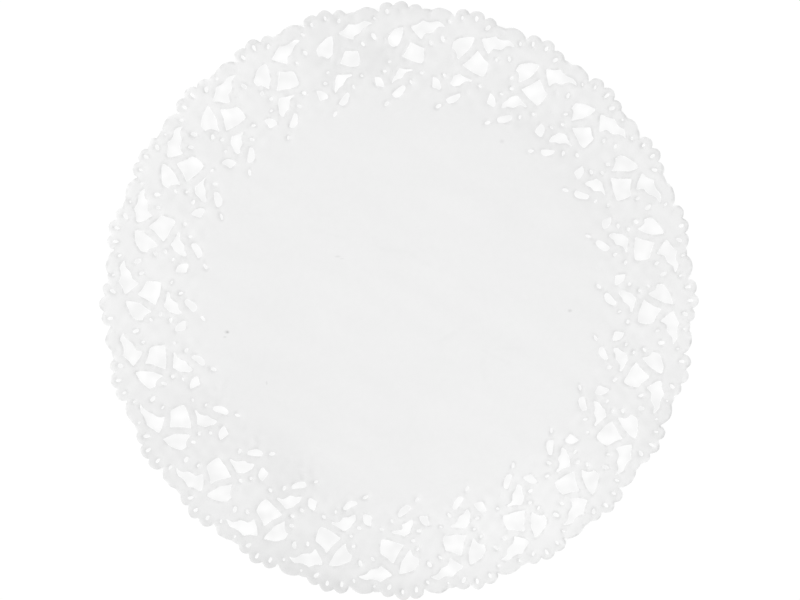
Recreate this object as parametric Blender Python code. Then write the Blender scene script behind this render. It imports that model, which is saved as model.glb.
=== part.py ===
"""Round lace doily: one flat sheet of paper with a beaded, scalloped edge and a cut lace border.

The border is one motif repeated around the sheet. Places on a motif are polar: an angle in
degrees, clockwise seen from above and measured from the motif's middle bead, and a distance in
millimetres from the middle of the sheet. The sheet lies on z = 0 with its middle at the origin,
and the first motif's middle bead points along +Y.
"""

from math import atan2, ceil, cos, pi, radians, sin, sqrt
from typing import NamedTuple

import bmesh
import bpy
from mathutils import Vector
from mathutils.geometry import delaunay_2d_cdt

MM = 0.001

# Driving sizes
MOTIFS = 24                # repeats of the lace motif around the sheet
PITCH = 360.0 / MOTIFS     # degrees from one motif to the next
THICKNESS = 1.0            # mm, the embossed sheet with its raised rims, made solid
EDGE_STEP = 32.0           # degrees of a disc's rim to one straight facet of the outer edge
HOLE_STEP = 20.0           # degrees that a curved side of a hole turns in one facet
PAPER_COLOUR = (0.863, 0.863, 0.858, 1.0)
PAPER_ROUGHNESS = 0.85


class Disc(NamedTuple):
    """A round part of the outer edge, which follows whichever disc reaches furthest out."""

    angle: float           # of its centre
    centre: float          # its centre's distance from the sheet's middle, mm
    radius: float          # mm


class Corner(NamedTuple):
    """A corner of a hole, and how the side from it to the next corner curves."""

    angle: float
    distance: float        # from the sheet's middle, mm
    bow: float             # mm that the side swells out of its straight line, or in if negative


# The outer edge of one motif, clockwise: three beads, the web beside them and a wave crest
EDGE = (
    Disc(angle=-2.75, centre=147.9, radius=3.90),
    Disc(angle=0.00, centre=148.5, radius=3.90),
    Disc(angle=2.80, centre=146.9, radius=3.80),
    Disc(angle=5.10, centre=138.6, radius=10.0),
    Disc(angle=8.00, centre=142.2, radius=8.20),
)

# The large holes of one motif, each clockwise from its left end, outermost hole first
HOLES = {
    "crest": (
        Corner(angle=2.10, distance=139.3, bow=0.10),
        Corner(angle=2.90, distance=140.5, bow=-0.15),
        Corner(angle=4.50, distance=143.1, bow=-0.85),
        Corner(angle=7.40, distance=143.4, bow=0.35),
        Corner(angle=8.90, distance=141.6, bow=0.00),
        Corner(angle=7.90, distance=140.9, bow=-0.30),
        Corner(angle=6.90, distance=138.0, bow=0.15),
        Corner(angle=5.35, distance=136.8, bow=-0.30),
        Corner(angle=4.50, distance=133.6, bow=0.30),
    ),
    "leaf": (
        Corner(angle=-3.60, distance=134.4, bow=0.60),
        Corner(angle=-1.00, distance=138.5, bow=0.10),
        Corner(angle=0.50, distance=139.0, bow=0.60),
        Corner(angle=-0.50, distance=130.0, bow=-0.05),
        Corner(angle=-1.75, distance=126.7, bow=-0.35),
        Corner(angle=-2.80, distance=130.6, bow=-0.10),
        Corner(angle=-3.55, distance=131.2, bow=0.00),
    ),
    "kite": (
        Corner(angle=-0.20, distance=124.3, bow=-0.35),
        Corner(angle=2.05, distance=133.2, bow=-0.45),
        Corner(angle=5.05, distance=129.2, bow=0.55),
        Corner(angle=5.05, distance=122.1, bow=0.10),
        Corner(angle=4.65, distance=121.6, bow=0.35),
    ),
    "wing": (
        Corner(angle=-2.00, distance=117.8, bow=0.00),
        Corner(angle=-0.50, distance=120.3, bow=-0.30),
        Corner(angle=2.70, distance=118.3, bow=0.10),
        Corner(angle=2.60, distance=117.2, bow=-0.10),
        Corner(angle=1.30, distance=116.6, bow=-0.10),
        Corner(angle=0.25, distance=113.6, bow=0.00),
        Corner(angle=-1.10, distance=112.9, bow=0.10),
        Corner(angle=-2.40, distance=111.3, bow=0.20),
        Corner(angle=-2.65, distance=114.0, bow=-0.25),
    ),
    "petal": (
        Corner(angle=-6.90, distance=115.2, bow=0.40),
        Corner(angle=-5.00, distance=113.8, bow=0.15),
        Corner(angle=-4.45, distance=110.4, bow=0.10),
        Corner(angle=-4.90, distance=109.6, bow=-0.15),
        Corner(angle=-6.75, distance=110.2, bow=0.00),
    ),
    "oval": (
        Corner(angle=-2.35, distance=105.2, bow=0.35),
        Corner(angle=0.50, distance=109.8, bow=0.20),
        Corner(angle=1.10, distance=108.4, bow=0.15),
        Corner(angle=0.00, distance=104.9, bow=0.20),
        Corner(angle=-1.50, distance=103.9, bow=0.25),
    ),
}


def polar(angle, distance):
    """The point at a clockwise angle from 12 o'clock and a distance from the sheet's middle."""
    return Vector((distance * sin(radians(angle)), distance * cos(radians(angle))))


def arc(start, end, bow, step):
    """Points of a round side, from start up to but without end.

    bow is the height of the arc over its straight line, on the left of the way from start to
    end, and a corner turns at most step degrees. A straight side is its first point alone.
    """
    chord = end - start
    turn = 4 * atan2(2 * abs(bow), chord.length)
    facets = round(turn / radians(step))
    if facets < 2:
        return [start]
    left = Vector((-chord.y, chord.x)).normalized() * (1 if bow > 0 else -1)
    radius = chord.length / 2 / sin(turn / 2)
    centre = (start + end) / 2 - left * radius * cos(turn / 2)
    along = chord.normalized()
    points = []
    for k in range(facets):
        around = turn * (k / facets - 0.5)
        points.append(centre + left * radius * cos(around) + along * radius * sin(around))
    return points


def reach(disc, angle):
    """How far out a disc's rim lies at an angle: the far end of the ray's chord in the disc."""
    lean = radians(angle - disc.angle)
    inside = disc.radius ** 2 - (disc.centre * sin(lean)) ** 2
    return disc.centre * cos(lean) + sqrt(max(inside, 0.0))


def cusp(disc, following):
    """The angle between two neighbouring discs at which both rims lie equally far out."""
    low, high = disc.angle, following.angle
    for _ in range(40):
        middle = (low + high) / 2
        if reach(disc, middle) > reach(following, middle):
            low = middle
        else:
            high = middle
    return (low + high) / 2


def edge_points():
    """The outer edge, clockwise: each disc's rim from its own cusp to the next one."""
    discs = [disc._replace(angle=disc.angle + PITCH * k) for k in range(MOTIFS) for disc in EDGE]
    first = discs[0]._replace(angle=discs[0].angle + 360)
    last = discs[-1]._replace(angle=discs[-1].angle - 360)
    points = []
    for before, disc, after in zip([last] + discs, discs, discs[1:] + [first]):
        centre = polar(disc.angle, disc.centre)
        ends = []
        for angle in (cusp(before, disc), cusp(disc, after)):
            ends.append(polar(angle, reach(disc, angle)) - centre)
        start, end = (atan2(rim.x, rim.y) for rim in ends)
        swept = (end - start) % (2 * pi)
        facets = max(2, ceil(swept / radians(EDGE_STEP)))
        for k in range(facets):
            around = start + swept * k / facets
            points.append(centre + disc.radius * Vector((sin(around), cos(around))))
    return points


def hole_points(corners, turn):
    """One hole's rim, clockwise, with its motif turned clockwise by an angle."""
    places = [polar(corner.angle + turn, corner.distance) for corner in corners]
    points = []
    for corner, start, end in zip(corners, places, places[1:] + places[:1]):
        points += arc(start, end, corner.bow, HOLE_STEP)
    return points


def build_sheet():
    """The sheet: its edge and holes filled as one flat face, then raised to its thickness."""
    points = edge_points()
    outer_face = list(reversed(range(len(points))))
    sides = []
    for k in range(MOTIFS):
        for corners in HOLES.values():
            rim = hole_points(corners, PITCH * k)
            first = len(points)
            points += rim
            sides += [(first + i, first + (i + 1) % len(rim)) for i in range(len(rim))]
    inside_without_holes = 2
    places, _, faces, _, _, _ = delaunay_2d_cdt(points, sides, [outer_face], inside_without_holes, 1e-5)

    shape = bmesh.new()
    corners = [shape.verts.new((place.x * MM, place.y * MM, 0.0)) for place in places]
    flat = [shape.faces.new([corners[k] for k in face]) for face in faces]
    raised = bmesh.ops.extrude_face_region(shape, geom=flat)["geom"]
    top = [item for item in raised if isinstance(item, bmesh.types.BMVert)]
    bmesh.ops.translate(shape, verts=top, vec=(0.0, 0.0, THICKNESS * MM))
    bmesh.ops.recalc_face_normals(shape, faces=shape.faces)
    mesh = bpy.data.meshes.new("doily_sheet")
    shape.to_mesh(mesh)
    shape.free()
    sheet = bpy.data.objects.new("doily_sheet", mesh)
    bpy.context.scene.collection.objects.link(sheet)
    return sheet


def paper():
    """White, matt paper."""
    material = bpy.data.materials.new("white_paper")
    material.use_nodes = True
    shader = material.node_tree.nodes["Principled BSDF"]
    shader.inputs["Base Color"].default_value = PAPER_COLOUR
    shader.inputs["Roughness"].default_value = PAPER_ROUGHNESS
    shader.inputs["Metallic"].default_value = 0.0
    return material


def main():
    """Empty the scene and build the doily."""
    for item in list(bpy.data.objects):
        bpy.data.objects.remove(item, do_unlink=True)
    build_sheet().data.materials.append(paper())


main()
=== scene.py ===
"""A round lace doily of die-cut, embossed white paper, lying flat on a pale floor.

The border is one lace motif repeated around the sheet. Places on a motif are polar: an angle in
degrees, clockwise seen from above and measured from the motif's middle bead, and a distance in
millimetres from the middle of the sheet. Meshes are worked out in millimetres and written to
Blender in metres.
"""

import logging
from dataclasses import dataclass, field, replace
from enum import Enum
from math import atan2, ceil, cos, pi, radians, sin, tau
from typing import TypeVar

import bpy
import numpy as np
from mathutils import Matrix, Vector
from mathutils.geometry import delaunay_2d_cdt


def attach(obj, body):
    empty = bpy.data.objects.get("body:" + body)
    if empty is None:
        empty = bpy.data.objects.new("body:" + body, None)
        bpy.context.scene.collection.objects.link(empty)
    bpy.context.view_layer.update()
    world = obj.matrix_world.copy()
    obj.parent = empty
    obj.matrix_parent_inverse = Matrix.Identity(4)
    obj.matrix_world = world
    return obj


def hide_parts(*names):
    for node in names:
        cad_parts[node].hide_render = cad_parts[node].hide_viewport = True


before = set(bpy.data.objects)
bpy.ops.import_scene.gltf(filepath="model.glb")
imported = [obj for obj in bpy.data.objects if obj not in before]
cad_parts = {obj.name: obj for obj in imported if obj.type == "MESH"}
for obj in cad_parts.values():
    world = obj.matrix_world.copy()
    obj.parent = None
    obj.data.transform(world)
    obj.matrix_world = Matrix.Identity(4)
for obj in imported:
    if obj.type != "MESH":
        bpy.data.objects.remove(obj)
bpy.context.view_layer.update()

log = logging.getLogger("doily")

MM = 0.001  # metres in a millimetre
MOTIFS = 24  # repeats of the lace motif around the sheet
PITCH = 360.0 / MOTIFS  # degrees from one motif to the next
NODE = "doily_sheet"  # the solid that the modelled sheet stands for
FINE = 0.1  # mm between points of a line that is still being shaped
CROWDED = 0.66  # mm, side of a cell in which only one free point of the lace stays

Array = np.ndarray
Socket = bpy.types.NodeSocket
Input = Socket | float | Vector | tuple[float, ...]
Pair = tuple[float, float]
Row = TypeVar("Row")


def table(kind: type[Row], *values: tuple) -> tuple[Row, ...]:
    """Make a table: one row of a kind from each tuple, in the order of the kind's fields."""
    return tuple(kind(*value) for value in values)


# ---------------------------------------------------------------------------- plane curves


def polar(angle: Array | float, distance: Array | float) -> Array:
    """Points (x, y) of polar places: the distance times the angle's sine and its cosine."""
    angle = np.radians(angle)
    return np.stack((distance * np.sin(angle), distance * np.cos(angle)), axis=-1)


def clock(points: Array) -> Array:
    """Degrees clockwise from 12 o'clock to some points, -180 to 180."""
    return np.degrees(np.arctan2(*points.T))


def aside(angle: Array, middle: float) -> Array:
    """Degrees from a middle angle to other angles, -180 to 180."""
    return (angle - middle + 180.0) % 360.0 - 180.0


def turned(points: Array, angle: float) -> Array:
    """Points, (n, 2), turned clockwise about the sheet's middle by an angle in degrees."""
    c, s = cos(radians(angle)), sin(radians(angle))
    return points @ np.array(((c, -s), (s, c)))


def bell(*shares: Array) -> Array:
    """A bell curve: exp of minus the sum of the squared shares, each a gap over its spread."""
    return np.exp(-sum(share ** 2 for share in shares))


def arc_side(start: Array, end: Array, bow: float) -> Array:
    """Points of a round side at fine steps, from start up to but without end.

    The side is the circle through both ends whose height over the straight line is the bow, on
    the left of the way from start to end. A side without a bow is straight.

    Args:
        start: first end, (2,).
        end: second end, (2,).
        bow: height of the arc in millimetres, negative on the right.

    Returns:
        The side's points, (n, 2).
    """
    chord = end - start
    length = float(np.hypot(*chord))
    share = np.arange(max(2, ceil(length / FINE)))[:, None]
    share = share / len(share)
    if not bow:
        return start + chord * share
    left = np.array((-chord[1], chord[0])) / length
    turn = 4.0 * atan2(2.0 * bow, length)
    radius = length / 2.0 / sin(turn / 2.0)
    centre = (start + end) / 2.0 - left * radius * cos(turn / 2.0)
    around = turn * (share - 0.5)
    return centre + left * radius * np.cos(around) + chord / length * radius * np.sin(around)


def evenly(points: Array, step: float) -> Array:
    """Place points at equal steps along a closed line, by its running length.

    Args:
        points: the closed line, (n, 2), its first point not repeated.
        step: about the distance wanted between points.

    Returns:
        The evenly placed points, (m, 2).
    """
    closed = np.vstack((points, points[:1]))
    along = np.concatenate(((0.0,), np.cumsum(np.hypot(*np.diff(closed, axis=0).T))))
    count = round(along[-1] / step)
    wanted = np.arange(count) * along[-1] / count
    return np.stack([np.interp(wanted, along, closed[:, axis]) for axis in (0, 1)], axis=-1)


def softened(points: Array, reach: float) -> Array:
    """Round the corners of a closed line, as a die's worn corners are.

    The line, taken as complex numbers at even steps, is averaged along itself with a bell curve:
    each of its frequencies is multiplied by the bell curve's own.

    Args:
        points: (n, 2), closed.
        reach: the bell curve's standard deviation, in millimetres.

    Returns:
        The rounded line at fine steps, (m, 2).
    """
    fine = evenly(points, FINE)
    step = float(np.hypot(*(fine[1] - fine[0])))
    waves = np.fft.fft(fine[:, 0] + 1j * fine[:, 1])
    rate = np.fft.fftfreq(len(fine), step)
    line = np.fft.ifft(waves * np.exp(-2.0 * (pi * rate * reach) ** 2))
    return np.stack((line.real, line.imag), axis=-1)


def left_normals(points: Array) -> Array:
    """Unit vectors to the left of a closed line's run, from each point's two neighbours.

    Args:
        points: (n, 2), closed.

    Returns:
        The unit vectors, (n, 2).
    """
    run = np.roll(points, -1, axis=0) - np.roll(points, 1, axis=0)
    normal = np.stack((-run[:, 1], run[:, 0]), axis=-1)
    return normal / np.linalg.norm(normal, axis=1, keepdims=True)


def nearest(points: Array, starts: Array, ends: Array) -> Array:
    """Distance from each point to the nearest of many straight pieces.

    The foot on a piece is its start plus its run times the share of the run that the point's
    offset covers, held between 0 and 1. Points are taken a thousand at a time.

    Args:
        points: (n, 2).
        starts: (m, 2) first ends of the pieces.
        ends: (m, 2) second ends.

    Returns:
        The distances, (n,).
    """
    run = ends - starts
    best = np.full(len(points), np.inf)
    for part in np.array_split(np.arange(len(points)), max(1, len(points) // 1000)):
        offset = points[part, None, :] - starts[None, :, :]
        share = np.clip((offset * run).sum(-1) / (run ** 2).sum(-1), 0.0, 1.0)
        best[part] = np.sqrt(((offset - share[..., None] * run) ** 2).sum(-1).min(1))
    return best


def thinned(points: Array, cell: float) -> Array:
    """Drop points that crowd: keep one in each cell of four grids that lie half a cell apart.

    Args:
        points: (n, 2).
        cell: side of a cell, in millimetres.

    Returns:
        The kept points, (m, 2).
    """
    for shift in ((0.0, 0.0), (0.5, 0.0), (0.0, 0.5), (0.5, 0.5)):
        cells = np.floor(points / cell + shift).astype(int)
        _, kept = np.unique(cells, axis=0, return_index=True)
        points = points[np.sort(kept)]
    return points


def staggered(rings: Array, step: float, start: float, sector: float, fold: int = 1) -> Array:
    """Points spread evenly along rings, every other ring shifted by half a step.

    Args:
        rings: the rings' distances from the sheet's middle.
        step: about the distance between points of a ring, in millimetres.
        start: where the rings start, in degrees.
        sector: how far round they go, in degrees.
        fold: what the number of points on a ring is a multiple of.

    Returns:
        The points, (n, 2).
    """
    parts = []
    for number, ring in enumerate(rings):
        count = fold * round(radians(sector) * ring / step / fold)
        parts.append(polar((np.arange(count) + number % 2 / 2) * sector / count + start, ring))
    return np.vstack(parts)


@dataclass(frozen=True)
class Ripple:
    """A smooth random field: sine waves with directions, lengths and phases drawn from a seed."""

    seed: int
    shortest: float  # mm, of the wavelengths
    longest: float
    waves: int = 18

    def at(self, points: Array, fields: int = 1) -> Array:
        """Values of the field, with a root mean square of one.

        A value is the sum of sin(run along the wave times tau over its length, plus its phase),
        times the root of two over the number of waves.

        Args:
            points: (n, 2).
            fields: how many fields of the same waves, with phases of their own.

        Returns:
            The values, (n, fields).
        """
        draw = np.random.default_rng(self.seed)
        length = np.exp(draw.uniform(np.log(self.shortest), np.log(self.longest), self.waves))
        heading = draw.uniform(0.0, tau, self.waves)
        phase = draw.uniform(0.0, tau, (fields, self.waves))
        along = points @ (tau / length * np.stack((np.cos(heading), np.sin(heading))))
        values = [np.sin(along + shift).sum(-1) for shift in phase]
        return np.stack(values, axis=-1) * np.sqrt(2.0 / self.waves)


# ---------------------------------------------------------------------------- the lace motif


@dataclass(frozen=True)
class Disc:
    """A round part of the outer edge, which follows whichever disc reaches furthest out."""

    angle: float
    centre: float
    radius: float

    def reach(self, angle: Array) -> Array:
        """How far out the disc's rim lies, or 0 where it isn't met.

        The far end of a ray's chord: the centre's distance times the cosine of the lean, plus the
        root of the radius squared less the sine part squared.

        Args:
            angle: the rays' angles.

        Returns:
            Distances from the sheet's middle.
        """
        lean = np.radians(angle - self.angle)
        inside = self.radius ** 2 - (self.centre * np.sin(lean)) ** 2
        rim = self.centre * np.cos(lean) + np.sqrt(np.maximum(inside, 0.0))
        return np.where(inside > 0.0, rim, 0.0)


@dataclass(frozen=True)
class Corner:
    """A corner of a large hole, and the bow of the side from it to the next corner."""

    angle: float
    distance: float
    bow: float


@dataclass(frozen=True)
class Pip:
    """A small hole's ring: a long round drop, its lean measured clockwise from straight out."""

    angle: float
    distance: float
    length: float
    width: float
    lean: float
    drop: float = 0.0  # how much wider than the middle its outer end is, as a share

    def outline(self, count: int, share: float = 1.0) -> Array:
        """The hole's rim, or the ring round it, clockwise.

        Across it is half the width times the sine of the turn, times one plus the drop times the
        cosine. Along it is half the length times the cosine. The whole is leant, then carried to
        its place on the motif.

        Args:
            count: number of points.
            share: size of the outline as a share of the ring.

        Returns:
            The points, (count, 2).
        """
        turn = np.arange(count) * tau / count
        across = self.width / 2 * np.sin(turn) * (1.0 + self.drop * np.cos(turn))
        along = self.length / 2 * np.cos(turn)
        shape = turned(np.stack((across, along), axis=-1) * share, self.lean + self.angle)
        return shape + polar(self.angle, self.distance)


class Punch(Enum):
    """How far a small hole is punched through: the size of its opening as a share of its ring."""

    CLEAN = 0.93
    PART = 0.70
    BLIND = 0.0


@dataclass(frozen=True)
class Strike:
    """How a motif's small holes came out of the worn die: letters of those that aren't clean."""

    part: str
    blind: str

    def punch(self, letter: str) -> Punch:
        """How far one of the small holes is punched through."""
        other = Punch.PART if letter in self.part else Punch.CLEAN
        return Punch.BLIND if letter in self.blind else other


@dataclass(frozen=True)
class Snag:
    """A large hole left partly closed: some of its corners stop short, by shares of the way in."""

    motif: int
    hole: str
    short: dict[int, float]  # a corner's number to its share of the way to the hole's middle


@dataclass(frozen=True)
class Struck:
    """One motif as it came out of the die."""

    rims: list[Array]  # of all its open holes, clockwise
    sunk: list[Array]  # the rings of the small ones among them
    paper: Array  # points of the paper that was left in holes, (n, 2)


@dataclass
class LaceMotif:
    """One repeat of the lace: its stretch of outer edge, six large holes and thirteen small ones.

    The pips, the small holes, go by letters. The die is worn, so each motif has its own strike,
    and some of the large holes have snags.
    """

    edge: tuple[Disc, ...] = table(  # angle, centre, radius
        Disc, (-2.75, 148, 4.1), (0, 148.6, 4.2), (2.8, 147.1, 4.05), (5.1, 138.6, 10.4),
        (8, 142.2, 8.45),
    )
    holes: dict[str, tuple[Corner, ...]] = field(default_factory=lambda: {
        "crest": table(  # angle, distance, bow
            Corner, (2, 139.4, 0.25), (3, 140.6, -0.15), (4.55, 143.4, -0.95), (7.4, 143.5, 0.4),
            (9.15, 141.5, -0.05), (7.9, 140.9, -0.35), (6.9, 137.9, 0.15), (5.3, 136.8, -0.35),
            (4.6, 133.1, 0.35)),
        "leaf": table(
            Corner, (-3.65, 134.4, 0.55), (-1, 138.5, 0.15), (0.65, 139.4, 0.65),
            (-0.5, 130, 0.05), (-1.8, 126.1, -0.25), (-2.65, 130.4, -0.25), (-3.65, 131.1, 0)),
        "kite": table(
            Corner, (-0.5, 124.2, -0.4), (1.95, 133.7, -0.4), (5.15, 129.3, 0.55),
            (5.1, 121.9, 0.15), (4.6, 121.5, 0.4)),
        "wing": table(
            Corner, (-2.05, 117.9, 0.05), (-0.5, 120.6, -0.3), (2.95, 118.3, 0.1),
            (2.75, 117.2, -0.15), (1.35, 116.8, -0.25), (0.25, 113.6, 0), (-1.1, 112.9, 0.1),
            (-2.5, 110.9, 0.15), (-2.8, 113.9, -0.3)),
        "petal": table(
            Corner, (-7, 115.5, 0.45), (-5.05, 114, 0.25), (-4.35, 110.4, 0.2),
            (-4.85, 109.4, -0.15), (-6.9, 110, 0.05)),
        "oval": table(
            Corner, (-2.45, 105.4, 0.25), (0.55, 110.1, 0.25), (1.2, 108.5, 0.2),
            (0.05, 104.9, 0.25), (-1.5, 103.7, 0.3)),
    })
    pips: dict[str, Pip] = field(default_factory=lambda: dict(zip("abcdefghijklm", table(
        Pip,  # angle, distance, length, width, lean, drop
        (-2.75, 147.3, 2.8, 1.3, -8, 0.15), (0, 148.4, 2.8, 1.35, 0, 0.25),
        (2.6, 145.9, 3, 1.65, 30, 0.15), (5.7, 146.1, 1.3, 1.1, 0), (-5.15, 144.2, 1.9, 1.1, -30),
        (-5.85, 135, 3.4, 1.8, -27), (6.6, 132.1, 2.3, 1.2, -30), (-3.55, 126.9, 2.6, 1.5, 46),
        (-2.55, 122.1, 1.9, 1.4, 90), (-4.1, 117.3, 2.2, 1.4, 98), (5.2, 116.6, 2, 1.3, 112),
        (2.65, 111.8, 2.4, 1.3, -25), (-4.25, 101.2, 3, 1.4, 50),
    ))))
    strikes: tuple[Strike, ...] = table(  # letters of the part punched, and of the blind
        Strike, ("eijkl", "bcdh"), ("agkj", "dhil"), ("afhjkl", "dg"), ("adefhij", ""),
        ("aefkl", "d"), ("", "a"), ("deghijl", ""), ("dehij", "b"), ("aeghjk", "d"), ("ah", "d"),
        ("acdehk", "l"), ("defhik", ""), ("bdhlm", ""), ("dhil", ""), ("dem", ""), ("gj", "dhk"),
        ("dgjkl", ""), ("aegjk", "d"), ("dhk", "be"), ("dhjl", ""), ("adehik", ""), ("j", "g"),
        ("cgjm", "de"), ("abcfikl", "dh"),
    )
    snags: tuple[Snag, ...] = table(  # motif, hole, corners that stop short
        Snag, (0, "leaf", {0: 0.35, 4: 0.45, 6: 0.4}), (0, "kite", {0: 0.2, 1: 0.2}),
        (0, "wing", {0: 0.45, 1: 0.3, 8: 0.5}), (0, "petal", {0: 0.2, 4: 0.2}),
        (1, "wing", {1: 0.2, 7: 0.45, 8: 0.15}), (3, "kite", {1: 0.3, 2: 0.15}),
        (3, "wing", {1: 0.2, 2: 0.12}), (3, "oval", {2: 0.15, 3: 0.25, 4: 0.1}),
        (4, "wing", {1: 0.25, 2: 0.12}), (12, "crest", {8: 0.3}),
        (12, "wing", {1: 0.15, 2: 0.12, 3: 0.08, 4: 0.95}), (16, "crest", {4: 0.1, 6: 0.3}),
        (20, "wing", {1: 0.2, 2: 0.2, 5: 0.2}), (21, "wing", {1: 0.15, 2: 0.2, 3: 0.2}),
        (22, "crest", {3: 0.2, 4: 0.15, 6: 0.2}), (22, "kite", {1: 0.2}),
        (23, "crest", {6: 0.2, 8: 0.25}), (23, "leaf", {4: 0.35}), (23, "kite", {0: 0.3, 1: 0.4}),
        (23, "wing", {0: 0.3, 1: 0.2, 8: 0.3}), (23, "petal", {0: 0.1, 1: 0.15}),
    )
    corner_wear: float = 0.32  # mm over which a large hole's corners are rounded
    burr: dict[str, float] = field(default_factory=lambda: {  # mm that cut fibres stand into it
        "crest": 0.20, "leaf": 0.25, "kite": 0.21, "wing": 0.22, "petal": 0.28, "oval": 0.15,
    })
    cusp_wear: float = 0.16  # mm over which the cusps between beads are rounded
    edge_step: float = 0.70  # mm between points of the outer edge
    edge_turn: float = 0.02  # degrees between the rays that find it
    edge_lead: float = 2.0  # degrees before its first disc at which a motif's edge starts
    hole_step: float = 0.72  # mm between points of a large hole's rim
    left_gap: float = 0.35  # mm from a rim to the first points of paper left in its hole
    pip_points: int = 10  # points of a small hole's rim

    def large_rim(self, name: str, short: dict[int, float]) -> Array:
        """The rim of a large hole, clockwise, so that paper lies on its left.

        Args:
            name: the hole's name.
            short: its corners that stop short, with their shares of the way to its middle.

        Returns:
            The rim's points, (n, 2).
        """
        corners = self.holes[name]
        places = np.stack([polar(corner.angle, corner.distance) for corner in corners])
        middle = places.mean(axis=0)
        for number, share in short.items():
            places[number] += (middle - places[number]) * share
        sides = [
            arc_side(start, end, corner.bow)
            for corner, start, end in zip(corners, places, np.roll(places, -1, axis=0))
        ]
        line = softened(np.vstack(sides), self.corner_wear)
        return evenly(line - left_normals(line) * self.burr[name], self.hole_step)

    def outlines(self) -> list[Array]:
        """The pattern's own outlines: the large holes' rims and the small holes' rings."""
        large = [self.large_rim(name, {}) for name in self.holes]
        return large + [pip.outline(self.pip_points) for pip in self.pips.values()]

    def closed(self, name: str, short: dict[int, float]) -> Array:
        """Points of the paper that a snag leaves in a large hole.

        They lie on the hole's full rim and on the rims that it would have with its corners a
        third and two thirds as far in, less those that crowd the snag's own rim.

        Args:
            name: the hole's name.
            short: the snag's corners, as for the rim.

        Returns:
            The points, (n, 2).
        """
        rim = self.large_rim(name, short)
        points = np.vstack([
            self.large_rim(name, {number: far * share for number, share in short.items()})
            for far in (0.0, 1 / 3, 2 / 3)
        ])
        clear = nearest(points, rim, np.roll(rim, -1, axis=0)) > self.left_gap
        return thinned(points[clear], CROWDED)

    def struck(self, motif: int) -> Struck:
        """One motif as it came out of the die.

        Args:
            motif: number of the motif, clockwise from the first.

        Returns:
            Its rims, sunk rings and left paper.
        """
        snags = {snag.hole: snag.short for snag in self.snags if snag.motif == motif}
        rims = [self.large_rim(name, snags.get(name, {})) for name in self.holes]
        paper = [np.empty((0, 2))] + [self.closed(name, short) for name, short in snags.items()]
        sunk = []
        for letter, pip in self.pips.items():
            punch = self.strikes[motif].punch(letter)
            ring = pip.outline(self.pip_points)
            if punch is not Punch.BLIND:
                rims.append(pip.outline(self.pip_points, punch.value))
                sunk.append(ring)
            if punch is not Punch.CLEAN:
                paper.append(ring)
            if punch is Punch.BLIND:
                paper.append(polar(pip.angle, pip.distance)[None])
        return Struck(rims, sunk, np.vstack(paper))

    def edge_run(self) -> Array:
        """The sheet's whole outer edge, anticlockwise, so that paper lies on its left.

        At each angle the edge is the furthest of the discs' rims. The same number of points falls
        on each motif, at even steps, from the first motif's start on.

        Returns:
            The edge's points, (motifs times points a motif, 2).
        """
        angle = np.arange(0.0, 360.0, self.edge_turn)
        first = self.edge[0].angle
        folded = (angle - first + self.edge_lead) % PITCH + first - self.edge_lead
        discs = self.edge + tuple(replace(disc, angle=disc.angle - PITCH) for disc in self.edge)
        rim = np.max([disc.reach(folded) for disc in discs], axis=0)
        line = softened(polar(angle, rim), self.cusp_wear)
        length = float(np.hypot(*(line - np.roll(line, 1, axis=0)).T).sum())
        count = MOTIFS * round(length / MOTIFS / self.edge_step)
        return evenly(line, length / count)[::-1]


# ---------------------------------------------------------------------------- finishes


class Shade(Enum):
    """Linear grey levels of the pulp, of the painted shade and painted highlight at its cuts, and
    of the floor.
    """

    PAPER = 0.805
    # painted shade along the cuts
    CUT_SHADE = 0.72
    # painted highlight at the very cut
    CUT_HIGHLIGHT = 0.95
    SPECK = 0.30
    FLOOR = 0.06


def grey(level: float) -> tuple[float, float, float, float]:
    """A neutral colour of one level, opaque."""
    return (level, level, level, 1.0)


@dataclass(frozen=True)
class Grain:
    """A noise: the size of its patches in millimetres, how detailed and how distorted it is."""

    size: float
    detail: float
    distortion: float = 0.0


@dataclass(frozen=True)
class Spot:
    """An oval stretch, in millimetres, over which a level fades out from the middle."""

    x: float
    y: float
    half_x: float
    half_y: float
    level: float


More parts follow.
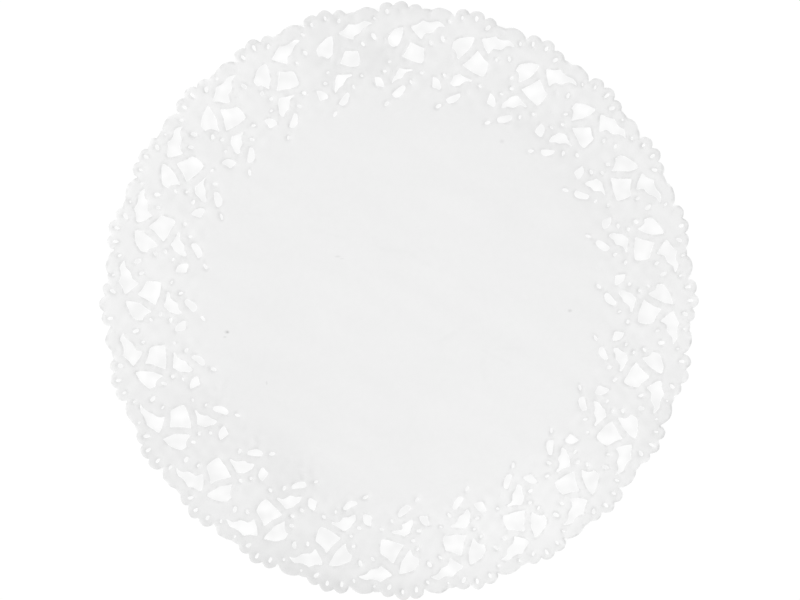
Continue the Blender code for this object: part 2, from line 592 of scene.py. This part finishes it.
class Mixture:
    """A material in the making: its shader, and the nodes that feed it."""

    def __init__(self, name: str, roughness: float, gloss: float) -> None:
        """Start a material.

        Args:
            name: the material's name.
            roughness: its shader's roughness.
            gloss: its shader's specular level.
        """
        self.material = bpy.data.materials.new(name)
        self.material.use_nodes = True
        self.tree = self.material.node_tree
        self.shader = self.tree.nodes["Principled BSDF"]
        self.feed(self.shader, {"Roughness": roughness, "Specular IOR Level": gloss})
        self.place = self.node("TexCoord", {}, "Object")

    def feed(self, node: bpy.types.Node, inputs: dict[str | int, Input]) -> None:
        """Link or set some inputs of a node.

        Args:
            node: the node.
            inputs: a socket to link or a value to set, by the input's name or number.
        """
        for name, value in inputs.items():
            if isinstance(value, Socket):
                self.tree.links.new(value, node.inputs[name])
            else:
                node.inputs[name].default_value = value

    def node(self, kind: str, inputs: dict[str | int, Input], output: str,
             **choices: str) -> Socket:
        """Add a node.

        Args:
            kind: its type's name, without the word that all shader nodes start with.
            inputs: what goes into it.
            output: name of the output wanted.
            choices: its own options.

        Returns:
            The output.
        """
        node = self.tree.nodes.new("ShaderNode" + kind)
        for name, choice in choices.items():
            setattr(node, name, choice)
        self.feed(node, inputs)
        return node.outputs[output]

    def noise(self, grain: Grain) -> Socket:
        """Noise over the object's own places."""
        inputs = {"Vector": self.place, "Scale": 1.0 / (grain.size * MM),
                  "Detail": grain.detail, "Distortion": grain.distortion}
        return self.node("TexNoise", inputs, "Fac")

    def ramp(self, value: Input, span: Pair, low: Input, high: Input,
             shape: str = "SMOOTHSTEP") -> Socket:
        """A step from low at a span's start to high at its end, smooth unless shaped otherwise."""
        inputs = {"Value": value, "From Min": span[0], "From Max": span[1],
                  "To Min": low, "To Max": high}
        return self.node("MapRange", inputs, "Result", interpolation_type=shape)

    def spot(self, spot: Spot) -> Socket:
        """The level of a spot: a smooth step of the distance to its middle.

        Args:
            spot: the spot.

        Returns:
            Its level.
        """
        scale = Vector((1.0 / spot.half_x, 1.0 / spot.half_y, 0.0)) / MM
        back = (-spot.x * MM * scale.x, -spot.y * MM * scale.y, 0.0)
        inputs = {0: self.place, 1: scale, 2: back}
        gap = self.node("VectorMath", inputs, "Vector", operation="MULTIPLY_ADD")
        away = self.node("VectorMath", {0: gap}, "Value", operation="LENGTH")
        return self.ramp(away, (0.0, 1.0), spot.level, 0.0)

    def mix(self, share: Input, first: Input, second: Input, blend: str = "MIX") -> Socket:
        """A share of the second colour mixed into the first."""
        inputs = {"Factor": share, "A": first, "B": second}
        return self.node("Mix", inputs, "Result", data_type="RGBA", blend_type=blend)


@dataclass(frozen=True)
class PaperFinish:
    """Uncoated white paper: cloudy pulp, fine fibres, painted shade and a painted highlight at the
    cuts, and a few flecks.
    """

    roughness: float = 0.82
    gloss: float = 0.25
    cloud: Grain = Grain(size=3.0, detail=4.0)
    clouds: Pair = (0.985, 1.015)  # their levels as shares of the paper's
    fibre: Grain = Grain(size=0.25, detail=6.0, distortion=1.5)
    fibre_strength: float = 0.25  # of their bump
    fibre_height: float = 0.04  # mm
    cut_shade_width: float = 2.30  # mm over which the painted shade along the cuts fades into the sheet
    cut_shade_patch: Grain = Grain(size=3.4, detail=2.0)  # the patches in which the cuts are painted darker
    cut_shade_span: Pair = (0.43, 0.62)  # and their noise's span from none to full
    highlight_width: float = 0.30  # mm over which the painted highlight at the very cut fades
    specks: tuple[Spot, ...] = table(  # flecks of bark: middle, half sizes, share of its level
        Spot, (-88.6, -14.4, 1.82, 1.4, 0.3), (-88.3, -14.6, 0.98, 0.84, 0.4),
        (-89.7, -17, 1.26, 0.56, 0.25), (-32.4, 23.5, 2.24, 0.84, 0.16),
        (-30.2, 22.4, 1.68, 0.56, 0.12), (86.1, -4.7, 1.68, 1.26, 0.28),
        (-68.7, -40.5, 0.7, 1.68, 0.2), (51.3, 81.7, 1.82, 1.54, 0.16),
    )

    def material(self) -> bpy.types.Material:
        """Build the paper's material.

        The base is a cloudy mix of two close greys, multiplied by the sheet's attribute of tone
        and painted light and shade. Along the cuts a greyer level, painted shade, is mixed in by
        the sheet's cut_distance attribute and in patches, and a whiter level, a painted highlight,
        at the very cut. Flecks are spots of a darker level.
        The bump is fine fibres.

        Returns:
            The material.
        """
        paper = Mixture("embossed_paper", self.roughness, self.gloss)
        thin, thick = [grey(Shade.PAPER.value * share) for share in self.clouds]
        pulp = paper.mix(paper.noise(self.cloud), thin, thick)
        # the sheet's tone, mostly painted light and shade of its lie
        tone = paper.node("Attribute", {}, "Color", attribute_name="tone")
        shaded_pulp = paper.mix(1.0, pulp, tone, "MULTIPLY")

        # painted shade along the cuts, in patches, then a painted highlight at the very cut
        distance = paper.node("Attribute", {}, "Fac", attribute_name="cut_distance")
        fade = paper.ramp(distance, (0.0, self.cut_shade_width), 1.0, 0.0)
        patch = paper.ramp(paper.noise(self.cut_shade_patch), self.cut_shade_span, 0.0, 1.0, "LINEAR")
        share = paper.node("Math", {0: fade, 1: patch}, "Value", operation="MULTIPLY")
        rim = paper.mix(share, shaded_pulp, grey(Shade.CUT_SHADE.value))
        cut_highlight = paper.ramp(distance, (0.0, self.highlight_width), 1.0, 0.0)
        colour = paper.mix(cut_highlight, rim, grey(Shade.CUT_HIGHLIGHT.value))

        for speck in self.specks:
            colour = paper.mix(paper.spot(speck), colour, grey(Shade.SPECK.value))

        height = {"Strength": self.fibre_strength, "Distance": self.fibre_height * MM,
                  "Height": paper.noise(self.fibre)}
        bump = paper.node("Bump", height, "Normal")
        paper.feed(paper.shader, {"Base Color": colour, "Normal": bump})
        return paper.material


@dataclass(frozen=True)
class FloorFinish:
    """A plain, pale, matt floor, with a painted shadow: a little dimmer where the sheet shades it.
    """

    roughness: float = 0.9
    glow: float = 0.96  # light that comes up through the floor, 1 being white paper's
    shaded: Pair = (0.852, 0.942)  # and what comes up under the sheet, a painted shadow in patches
    patch: Grain = Grain(size=8.5, detail=1.0)  # the patches
    patch_span: Pair = (0.3, 0.7)  # their noise's span from dim to bright
    edge: Pair = (145.0, 152.0)  # mm out, over which the one becomes the other
    pools: tuple[Spot, ...] = table(  # painted light and shade under the sheet: where more light comes up, or less
        Spot, (117, 43, 85, 85, -0.017), (58, -108, 60, 60, 0.014), (-25, -122, 60, 60, -0.01),
    )

    def material(self) -> bpy.types.Material:
        """Build the floor's material.

        Its glow is a smooth step of the distance to the sheet's middle, from a painted shadow's
        level that noise and the pools vary to the full one.

        Returns:
            The material.
        """
        floor = Mixture("pale_floor", self.roughness, 0.0)
        under = floor.ramp(floor.noise(self.patch), self.patch_span, *self.shaded, "LINEAR")
        for pool in self.pools:
            under = floor.node("Math", {0: under, 1: floor.spot(pool)}, "Value", operation="ADD")
        out = floor.node("VectorMath", {0: floor.place}, "Value", operation="LENGTH")
        glow = floor.ramp(out, (self.edge[0] * MM, self.edge[1] * MM), under, self.glow)
        floor.feed(floor.shader, {"Base Color": grey(Shade.FLOOR.value),
                                  "Emission Color": grey(1.0), "Emission Strength": glow})
        return floor.material


# ---------------------------------------------------------------------------- the relief


@dataclass(frozen=True)
class Line:
    """A line pressed at one distance from every cut: a bell curve of the distance."""

    distance: float
    height: float  # negative where it is pressed down
    spread: float

    def height_at(self, distance: Array) -> Array:
        """Its height times a bell curve of the gap to it over its spread."""
        return self.height * bell((distance - self.distance) / self.spread)


@dataclass(frozen=True)
class Embossing:
    """The relief that the die presses along the cuts, in millimetres."""

    lines: tuple[Line, ...] = table(  # distance, height, spread
        Line, (0, -0.125, 0.75), (1, 0.04, 0.3), (1.6, -0.02, 0.3), (2.3, 0.02, 0.4))
    curl: Line = Line(distance=0.0, height=-0.22, spread=0.50)  # of the outer edge alone
    crater: Line = Line(distance=0.0, height=-0.08, spread=0.50)  # of the small holes' rings
    strength: Ripple = Ripple(seed=3, shortest=5.0, longest=16.0)
    unevenness: float = 0.75  # root mean square of the strength, 1 being its mean
    least: float = 0.1  # of the strength
    dome: float = 0.08  # height that the paper gains well away from the cuts
    dome_reach: float = 2.5  # and over which distance

    def height(self, points: Array, cut: Array, sunk: Array, outer: Array) -> Array:
        """Height of the relief, in millimetres.

        The lines, the curl and the crater are scaled by the strength of the press, which is held
        at its least. The dome adds its height times one less a bell curve of its own reach.

        Args:
            points: (n, 2).
            cut: (n,) distances to the nearest hole, ring or edge of the pattern.
            sunk: (n,) distances to the nearest sunk ring.
            outer: (n,) distances to the outer edge.

        Returns:
            The heights, (n,).
        """
        press = 1.0 + self.unevenness * self.strength.at(points)[:, 0]
        lines = sum(line.height_at(cut) for line in self.lines)
        lines += self.curl.height_at(outer) + self.crater.height_at(sunk)
        lines *= np.maximum(press, self.least)
        return lines + self.dome * (1.0 - bell(cut / self.dome_reach))


@dataclass(frozen=True)
class Swell:
    """A low rise in the lie of the sheet, at a polar place."""

    angle: float
    distance: float
    height: float
    spread: float

    def height_at(self, points: Array) -> Array:
        """Its height times exp of minus half the square of each point's gap over its spread."""
        gap = points - polar(self.angle, self.distance)
        return self.height * np.exp(-0.5 * (gap ** 2).sum(-1) / self.spread ** 2)


@dataclass(frozen=True)
class Wave:
    """A wave around the sheet: how many crests, its share of the height and its phase."""

    crests: int
    share: float
    phase: float


@dataclass(frozen=True)
class Lie:
    """How unevenly the sheet lies: waves, swells, a drooping edge, wrinkles and crumpled spots."""

    swells: tuple[Swell, ...] = table(  # angle, distance, height, spread
        Swell, (328, 111, 0.4, 12), (351.2, 125.6, 0.4, 4.5), (62, 94, 0.3, 9),
        (140, 145, 0.5, 12), (194.8, 151, 0.4, 6), (212.6, 154, 0.4, 7), (215.6, 121.3, 0.4, 7),
        (237.7, 117.9, 0.5, 9),
    )
    crumples: tuple[Swell, ...] = table(
        Swell, (244, 102, 0.15, 4), (228.5, 103, 0.24, 4), (218, 101, 0.1, 5), (210, 100, 0.25, 5),
        (197, 108, 0.12, 5), (357, 124, 0.08, 7),
    )
    crumple: Ripple = Ripple(seed=21, shortest=3.2, longest=7.0)
    creases: tuple[tuple[float, float, float, float], ...] = (  # mm, x and y of both ends
        (-10.6, 27.7, 3.1, 25.1), (3.1, 25.1, 13.8, 19), (-41.1, 36.3, -29.5, 32.8),
        (19.9, -19.8, 31.1, -12.2), (48.9, -23.4, 60.6, -23.9), (40.2, -31.5, 41.8, -40.2),
        (41.8, -25, 51.9, -30), (-17.2, -67.1, -9.1, -67.1), (-76.8, 45.3, -71.7, 45),
        (59, -69.2, 62, -76), (25, -92, 35, -91.5),
    )
    crease: float = 0.08  # mm, height of a wrinkle
    crease_spread: float = 0.80  # mm
    waves: tuple[Wave, ...] = table(Wave, (3, 1, 0.8), (5, 0.7, -1.1), (8, 0.4, 0))
    wave: float = 0.02  # height of the long waves at the edge
    wave_from: float = 150.0  # mm out, where they have it
    droop: float = 0.04  # how far the edge droops where it droops most
    droop_place: Pair = (290.0, 152.0)  # which is here
    droop_spread: Pair = (35.0, 4.0)  # degrees and mm
    rows: tuple[float, ...] = (-1.6, -0.8, 0.0, 0.8, 1.6)  # mm beside a wrinkle
    row_step: float = 1.25  # mm between points of a row
    row_cell: float = 0.9  # mm, cell in which only one of them stays

    def height(self, points: Array) -> Array:
        """Height that the lie adds, in millimetres.

        The waves are sines of the angle times the cubed share of their full distance. A swell is
        a bell curve of the distance to its place. The droop is a bell curve of the distance from
        the middle times one of the angle. A wrinkle is a bell curve of the distance to its line.
        A crumple is a bell curve of the distance to its place, times a field of short waves whose
        root mean square is the crumple's height.

        Args:
            points: (n, 2).

        Returns:
            The heights, (n,).
        """
        around, out = np.arctan2(*points.T), np.hypot(*points.T)
        waves = sum(wave.share * np.sin(wave.crests * around + wave.phase) for wave in self.waves)
        total = self.wave * (out / self.wave_from) ** 3 * waves
        total += sum(swell.height_at(points) for swell in self.swells)
        rough = sum(crumple.height_at(points) for crumple in self.crumples)
        total += rough * self.crumple.at(points)[:, 0]
        gaps = aside(clock(points), self.droop_place[0]), out - self.droop_place[1]
        total -= self.droop * bell(*(gap / spread for gap, spread in zip(gaps, self.droop_spread)))
        for number in range(len(self.creases)):
            gap = self.gap(points, slice(number, number + 1))
            total += self.crease * bell(gap / self.crease_spread)
        return total

    def gap(self, points: Array, which: slice = slice(None)) -> Array:
        """Distance from some points to the nearest of some wrinkles, in millimetres, (n,)."""
        ends = np.array(self.creases[which])
        return nearest(points, ends[:, :2], ends[:, 2:])

    def strips(self) -> Array:
        """Points in rows along the wrinkles.

        Returns:
            The points, (n, 2).
        """
        strips = []
        for crease in np.array(self.creases):
            start, run = crease[:2], crease[2:] - crease[:2]
            length = float(np.hypot(*run))
            along = np.linspace(0.0, 1.0, ceil(length / self.row_step))
            across = np.array((-run[1], run[0])) / length
            beside = np.array(self.rows)[None, :, None] * across
            strips.append((start + (along[:, None, None] * run + beside)).reshape(-1, 2))
        return thinned(np.vstack(strips), self.row_cell)


@dataclass(frozen=True)
class ShadePatch:
    """A stretch of the lace painted greyer or whiter than the rest, as the light and shade of the
    sheet's lie, fading out all round.
    """

    angle: float
    distance: float
    level: float  # added to the paper's level as a share, negative where it is painted darker
    around: float  # degrees over which it fades
    out: float  # mm over which it fades


@dataclass(frozen=True)
class Pulp:
    """How the paper's level varies: patches of painted light and shade for the sheet's lie,
    painted light at the outer edge, painted shade in the wrinkles, streaks of painted light and
    shade, and a fine mottle in the lace.
    """

    # patches of painted light and shade, for the slopes of the sheet's lie
    shade_patches: tuple[ShadePatch, ...] = table(  # angle, distance, level, around, out
        ShadePatch, (330, 130, 0.014, 8, 15), (346, 132, -0.039, 8, 22), (358, 125, -0.036, 8, 8),
        (0, 151, -0.068, 26, 5), (13, 112, -0.016, 22, 12), (42, 152, -0.026, 26, 4.5),
        (35, 141, -0.01, 32, 5), (45, 112, -0.028, 26, 11), (66, 138, -0.03, 3, 4),
        (82, 130, -0.012, 10, 14), (91, 143, 0.012, 6, 6), (105, 152.5, 0.026, 40, 2.5),
        (113, 140, -0.026, 5, 7), (119, 147, -0.022, 12, 4), (149, 130, 0.042, 20, 24),
        (158, 148, -0.02, 12, 4), (166, 112, 0.012, 8, 14), (184, 136, -0.045, 2, 5),
        (195, 111, -0.045, 3, 4), (197, 150.5, -0.13, 22, 7), (197, 131, -0.026, 17, 12),
        (207, 137, -0.042, 10, 7), (214, 108, -0.046, 16, 14), (236, 151, -0.042, 16, 4.5),
        (241, 126, -0.04, 9, 22), (262, 120, 0.01, 10, 10), (282, 128, 0.018, 15, 14),
        (294, 151, 0.026, 34, 4.5), (304, 142, 0.02, 28, 8), (330, 60, -0.003, 40, 30),
        (7, 92, -0.006, 20, 12), (50, 84, -0.01, 24, 22), (138, 74, 0.008, 30, 22),
        (231, 78, -0.012, 26, 22), (0, 0, 0.005, 400, 26),
    )
    edge_light: float = 0.036  # by how much the outer edge is painted lighter, over the cuts' painted shade
    edge_reach: float = 1.40  # mm
    mottle: Ripple = Ripple(seed=8, shortest=5.0, longest=14.0)
    mottle_level: float = 0.010  # root mean square
    lace_from: float = 99.0  # mm out, where the mottle begins
    lace_full: float = 108.0  # and where it is full
    # streaks of painted light and shade, for shallow ripples that the lamp doesn't show
    streaks: Ripple = Ripple(seed=31, shortest=10.0, longest=30.0)
    streak_shading: float = 0.0035  # root mean square of the painted light and shade
    streak_turn: float = 20.0  # degrees clockwise from +X that they run
    streak_stretch: float = 3.5  # their length as a multiple of their width
    wrinkle_shade: float = -0.014  # painted shade in a wrinkle: by how much it is greyer
    wrinkle_reach: float = 0.90  # mm

    def tone(self, points: Array, outer: Array, wrinkle: Array) -> Array:
        """The paper's level, with its painted light and shade, 1 being its usual one.

        A patch of painted light or shade adds its level times a bell curve of the angle times one
        of the distance, and the painted light at the outer edge and the painted shade of the
        wrinkles add their levels times a bell curve of the distance to them. The mottle is added
        times a straight step from where it begins to where it is full. The streaks, painted light
        and shade of shallow ripples, are a field whose waves are stretched along the way that they
        run.

        Args:
            points: (n, 2).
            outer: (n,) distances to the outer edge.
            wrinkle: (n,) distances to the nearest wrinkle.

        Returns:
            The levels, (n,).
        """
        angle, out = clock(points), np.hypot(*points.T)
        total = 1.0 + self.edge_light * bell(outer / self.edge_reach)
        for shade_patch in self.shade_patches:
            around, beyond = aside(angle, shade_patch.angle), out - shade_patch.distance
            total += shade_patch.level * bell(around / shade_patch.around, beyond / shade_patch.out)
        total += self.wrinkle_shade * bell(wrinkle / self.wrinkle_reach)
        along = turned(points, -self.streak_turn) / (self.streak_stretch, 1.0)
        total += self.streak_shading * self.streaks.at(along)[:, 0]
        share = np.clip((out - self.lace_from) / (self.lace_full - self.lace_from), 0.0, 1.0)
        return total + share * self.mottle_level * self.mottle.at(points)[:, 0]


@dataclass(frozen=True)
class Wobble:
    """How the cuts stray from the pattern: a smooth drift of the paper and a rough cut."""

    ripple: Ripple = Ripple(seed=11, shortest=5.0, longest=30.0)
    drift: float = 0.14  # mm, root mean square
    seed: int = 5  # of the roughness
    rough: float = 0.045  # mm, root mean square

    def move(self, points: Array, on_cut: Array) -> Array:
        """Move points in the plane: all by the drift, and those of a cut by a draw of their own.

        Args:
            points: (n, 2).
            on_cut: (n,) true for a point of a cut.

        Returns:
            The moved points, (n, 2).
        """
        draw = np.random.default_rng(self.seed)
        rough = draw.normal(0.0, self.rough, points.shape) * on_cut[:, None]
        return points + self.drift * self.ripple.at(points, 2) + rough


# ---------------------------------------------------------------------------- the sheet


@dataclass(frozen=True)
class Surface:
    """The sheet's middle surface, cut and embossed."""

    points: Array  # (n, 3) millimetres
    triangles: Array  # (m, 3) numbers of points
    loops: list[Array]  # the cuts, as numbers of points with paper on their left
    cut: Array  # (n,) millimetres from each point to the nearest cut
    tone: Array  # (n,) the paper's level, with its painted light and shade


def placed(name: str, data: bpy.types.ID) -> bpy.types.Object:
    """Add an object to the scene, at the origin.

    Args:
        name: the object's name.
        data: its mesh, camera or light.

    Returns:
        The object.
    """
    thing = bpy.data.objects.new(name, data)
    bpy.context.scene.collection.objects.link(thing)
    return thing


@dataclass
class DoilySheet:
    """The doily: one closed sheet of thin paper, cut through and embossed.

    The flat pattern is triangulated once. Its points are then moved by the wobble of the cuts
    and lifted by the embossing and by the lie of the sheet.
    """

    motif: LaceMotif = field(default_factory=LaceMotif)
    embossing: Embossing = Embossing()
    lie: Lie = Lie()
    pulp: Pulp = Pulp()
    wobble: Wobble = Wobble()
    finish: PaperFinish = PaperFinish()
    thickness: float = 0.09  # mm
    crisp: float = 50.0  # degrees at which an edge is kept sharp
    rows: tuple[float, ...] = (0.32, 0.78, 1.42)  # mm from a cut to each row of points
    row_share: float = 0.93  # of which every cut is at least this far
    grid_gap: float = 0.5  # mm from the last row to the grid
    lace_step: float = 1.80  # mm between points inside the lace
    lace_ring: float = 0.87  # and between their rings, as a share of it
    lace_from: float = 91.0  # mm, where the lace's fine points begin
    plain_step: float = 4.5  # mm between points of the plain middle
    plain_ring: float = 0.9  # and between their rings, as a share of it
    plain_gap: float = 1.5  # mm from them to the lace's
    strip_gap: float = 1.0  # mm from a wrinkle's points to the lace's
    wrinkle_gap: float = 1.2  # mm from a wrinkle's points to the others

    def motif_points(self, outlines: list[Array], edge: Array) -> Array:
        """Points inside the paper of one motif: rows along the cuts, then a staggered grid.

        A row's points are an outline's points moved to the left by the row's distance, less those
        that another outline comes nearer to. The grid leaves out what lies within a row's reach
        of a cut.

        Args:
            outlines: the motif's hole rims and rings.
            edge: the outer edge around the motif.

        Returns:
            The points, (n, 2).
        """
        starts, ends = self.cuts(outlines, edge)
        own = (clock(edge) >= -PITCH / 2) & (clock(edge) < PITCH / 2)
        strips = []
        for distance in self.rows:
            row = [line + left_normals(line) * distance for line in outlines]
            row = np.vstack(row + [(edge + left_normals(edge) * distance)[own]])
            strips.append(row[nearest(row, starts, ends) > self.row_share * distance])
        rings = np.arange(self.lace_from, np.hypot(*edge.T).max(), self.lace_step * self.lace_ring)
        grid = staggered(rings, self.lace_step, -PITCH / 2, PITCH)
        inside = grid[nearest(grid, starts, ends) > self.rows[-1] + self.grid_gap]
        return np.vstack((thinned(np.vstack(strips), CROWDED), inside))

    def cuts(self, outlines: list[Array], edge: Array | None = None) -> tuple[Array, Array]:
        """All straight pieces of the cuts and rings in and beside one motif.

        Args:
            outlines: the motif's hole rims and rings.
            edge: the outer edge around the motif, if it counts.

        Returns:
            The pieces' first ends and second ends, each (m, 2).
        """
        starts, ends = ([], []) if edge is None else ([edge[:-1]], [edge[1:]])
        for turn in (-PITCH, 0.0, PITCH):
            for outline in outlines:
                line = turned(outline, turn)
                starts.append(line)
                ends.append(np.roll(line, -1, axis=0))
        return np.vstack(starts), np.vstack(ends)

    def plain_points(self) -> Array:
        """Points of the plain middle: strips along the wrinkles, and rings out from the centre.

        Returns:
            The points, (n, 2).
        """
        strips = self.lie.strips()
        strips = strips[np.hypot(*strips.T) < self.lace_from - self.strip_gap]
        step, stop = self.plain_step, self.lace_from - self.plain_gap
        rings = staggered(np.arange(step, stop, step * self.plain_ring), step, 0.0, 360.0, fold=6)
        rings = np.vstack((np.zeros((1, 2)), rings))
        clear = self.lie.gap(rings) > self.lie.rows[-1] + self.wrinkle_gap
        return np.vstack((strips, rings[clear]))

    def triangulated(self, flat: Array, loops: list[Array]) -> Array:
        """Triangulate the paper between the cuts, without adding a point.

        Args:
            flat: the pattern's points, (n, 2).
            loops: the cuts, as numbers of points, the outer edge first.

        Returns:
            The triangles, (m, 3) numbers of points.
        """
        sides = np.vstack([np.stack((loop, np.roll(loop, -1)), axis=-1) for loop in loops[1:]])
        inside_without_holes, tolerance = 2, 1e-5
        _, _, faces, origins, *_ = delaunay_2d_cdt(
            [Vector(point) for point in flat], sides.tolist(), [loops[0].tolist()],
            inside_without_holes, tolerance)
        return np.array([numbers[0] for numbers in origins])[np.array(faces)]

    def surface(self) -> Surface:
        """Lay out the cut sheet, all motifs round, and work out its heights and its tone with
        painted light and shade.

        A point's distances are worked out on the one motif, after turning it back onto it.

        Returns:
            The sheet's middle surface.
        """
        outlines, edge = self.motif.outlines(), self.motif.edge_run()
        near = edge[np.abs(clock(edge)) < PITCH]
        near = near[np.argsort(-clock(near))]
        inside = self.motif_points(outlines, near)

        parts, loops, total, free = [edge], [np.arange(len(edge))], len(edge), []
        struck = [self.motif.struck(number) for number in range(MOTIFS)]
        for number, strike in enumerate(struck):
            free.append(turned(np.vstack((inside, strike.paper)), PITCH * number))
            for rim in strike.rims:
                parts.append(turned(rim, PITCH * number))
                loops.append(np.arange(total, total + len(rim)))
                total += len(rim)
        flat = np.vstack(parts + free + [self.plain_points()])

        on_cut = np.arange(len(flat)) < total
        turn = clock(flat)
        owner = np.round(turn / PITCH)
        folded = polar(turn - owner * PITCH, np.hypot(*flat.T))
        cut, sunk = np.zeros(len(flat)), np.zeros(len(flat))
        for number, strike in enumerate(struck):
            mine = owner % MOTIFS == number
            sunk[mine] = nearest(folded[mine], *self.cuts(strike.sunk))
            mine &= ~on_cut
            cut[mine] = nearest(folded[mine], *self.cuts(strike.rims, near))
        pattern = nearest(folded, *self.cuts(outlines, near))
        outer = nearest(folded, near[:-1], near[1:])
        height = self.embossing.height(flat, pattern, sunk, outer) + self.lie.height(flat)
        height -= height.min() - self.thickness / 2
        moved = self.wobble.move(flat, on_cut)
        tone = self.pulp.tone(moved, outer, self.lie.gap(flat))
        points = np.column_stack((moved, height))
        return Surface(points, self.triangulated(flat, loops), loops, cut, tone)

    def build(self) -> bpy.types.Object:
        """Close the surface into a thin solid sheet and dress it.

        The upper face lies half a thickness over the middle surface and the lower face half a
        thickness under it, and a wall of quads joins them along each cut.

        Returns:
            The sheet's object.
        """
        surface = self.surface()
        count, triangles, walls = len(surface.points), surface.triangles, []
        half = np.array((0.0, 0.0, self.thickness / 2))
        corners = np.vstack((surface.points + half, surface.points - half)) * MM
        lower = triangles[:, ::-1] + count
        for loop in surface.loops:
            after = np.roll(loop, -1)
            walls += np.stack((loop, loop + count, after + count, after), axis=-1).tolist()

        mesh = bpy.data.meshes.new("doily")
        mesh.from_pydata(corners, (), triangles.tolist() + lower.tolist() + walls)
        # cut_distance carries the cuts' painted shade and highlight, and the tone the painted
        # light and shade of the lie
        for name, values in (("cut_distance", surface.cut), ("tone", surface.tone)):
            layer = mesh.attributes.new(name, "FLOAT", "POINT")
            layer.data.foreach_set("value", np.tile(values, 2).astype(np.float32))
        mesh.shade_smooth()
        mesh.set_sharp_from_angle(angle=radians(self.crisp))
        mesh.materials.append(self.finish.material())
        log.info("sheet: %d points, %d triangles", 2 * count, 2 * len(triangles) + 2 * len(walls))
        return placed("doily", mesh)

    def area(self, sheet: bpy.types.Object) -> float:
        """The sheet's flat area, from the upper faces seen from above.

        Args:
            sheet: the finished sheet.

        Returns:
            Its area in square metres.
        """
        mesh = sheet.data
        normals = np.empty(3 * len(mesh.polygons))
        mesh.polygons.foreach_get("normal", normals)
        areas = np.empty(len(mesh.polygons))
        mesh.polygons.foreach_get("area", areas)
        return float((areas * np.maximum(normals[2::3], 0.0)).sum())


# ---------------------------------------------------------------------------- the studio


@dataclass
class Studio:
    """The pale floor, the soft light and the camera over the doily."""

    lens: float = 85.0  # mm
    film: float = 36.0  # mm across
    distance: float = 961.5  # mm from the lens to the point looked at
    tilt: float = 4.11  # degrees that the view leans from straight down
    side: float = 144.9  # degrees anticlockwise from +X to where the camera leans
    roll: float = 0.18  # degrees clockwise from +Y to the top of the view
    target: Pair = (-0.78, 1.20)  # mm, the point looked at
    floor_size: float = 6.0  # m
    sky_share: float = 0.80  # light on the floor from the sky, 1 being white paper's
    lamp_share: float = 0.28  # and from the lamp
    lamp_angle: float = 266.0  # degrees clockwise from 12 o'clock to the lamp
    lamp_height: float = 45.0  # degrees over the floor
    lamp_width: float = 40.0  # degrees across
    lamp_away: float = 2.0  # m, where its object stands, which its light ignores
    floor: FloorFinish = FloorFinish()

    def build_floor(self) -> bpy.types.Object:
        """Lay a plain square floor at the doily's lowest point.

        Returns:
            The floor's object.
        """
        half = self.floor_size / 2
        mesh = bpy.data.meshes.new("floor")
        corners = ((-half, -half, 0.0), (half, -half, 0.0), (half, half, 0.0), (-half, half, 0.0))
        mesh.from_pydata(corners, (), ((0, 1, 2, 3),))
        mesh.materials.append(self.floor.material())
        ground = placed("floor", mesh)
        return ground

    def build_camera(self) -> bpy.types.Object:
        """Put the camera over the doily, looking nearly straight down.

        Returns:
            The camera's object.
        """
        data = bpy.data.cameras.new("camera")
        data.lens = self.lens
        data.sensor_width = self.film
        camera = placed("camera", data)
        lean, side, roll = radians(self.tilt), radians(self.side), radians(self.roll)
        back = Vector((sin(lean) * cos(side), sin(lean) * sin(side), cos(lean)))
        looked_at = Vector((*self.target, 0.0)) * MM
        right = Vector((sin(roll), cos(roll), 0.0)).cross(back).normalized()
        turn = Matrix((right, back.cross(right), back)).transposed()
        place = Matrix.Translation(looked_at + back * self.distance * MM)
        camera.matrix_world = place @ turn.to_4x4()
        bpy.context.scene.camera = camera
        return camera

    def build_lights(self) -> None:
        """A white sky for the fill and one broad soft lamp, far off on the left.

        The lamp's strength is its share of the light on the floor, times pi, over the sine of
        its height, because a matt floor sends back its irradiance over pi.
        """
        scene = bpy.context.scene
        world = bpy.data.worlds.new("sky")
        world.use_nodes = True
        sky = world.node_tree.nodes["Background"]
        sky.inputs["Color"].default_value = grey(1.0)
        sky.inputs["Strength"].default_value = self.sky_share
        scene.world = world
        side, up = radians(self.lamp_angle), radians(self.lamp_height)
        towards = Vector((sin(side) * cos(up), cos(side) * cos(up), sin(up)))
        lamp = bpy.data.lights.new("window", "SUN")
        lamp.angle = radians(self.lamp_width)
        lamp.energy = self.lamp_share * pi / sin(up)
        window = placed("window", lamp)
        window.location = towards * self.lamp_away
        window.rotation_euler = towards.to_track_quat("Z", "Y").to_euler()
        scene.view_settings.view_transform = "Standard"


def main() -> None:
    """Build the doily and the studio, attach the sheet to the root body and hide the solid it
    stands for.
    """
    logging.basicConfig(level=logging.INFO, format="%(name)s: %(message)s")
    maker = DoilySheet()
    sheet = maker.build()
    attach(sheet, "root")
    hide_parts(NODE)
    area = maker.area(sheet)
    log.info("%s: %.4f square metres of paper", sheet.name, area)
    studio = Studio()
    ground = studio.build_floor()
    studio.build_lights()
    camera = studio.build_camera()
    log.info("%s, %s and lights placed", ground.name, camera.name)


if __name__ == "__main__":
    main()
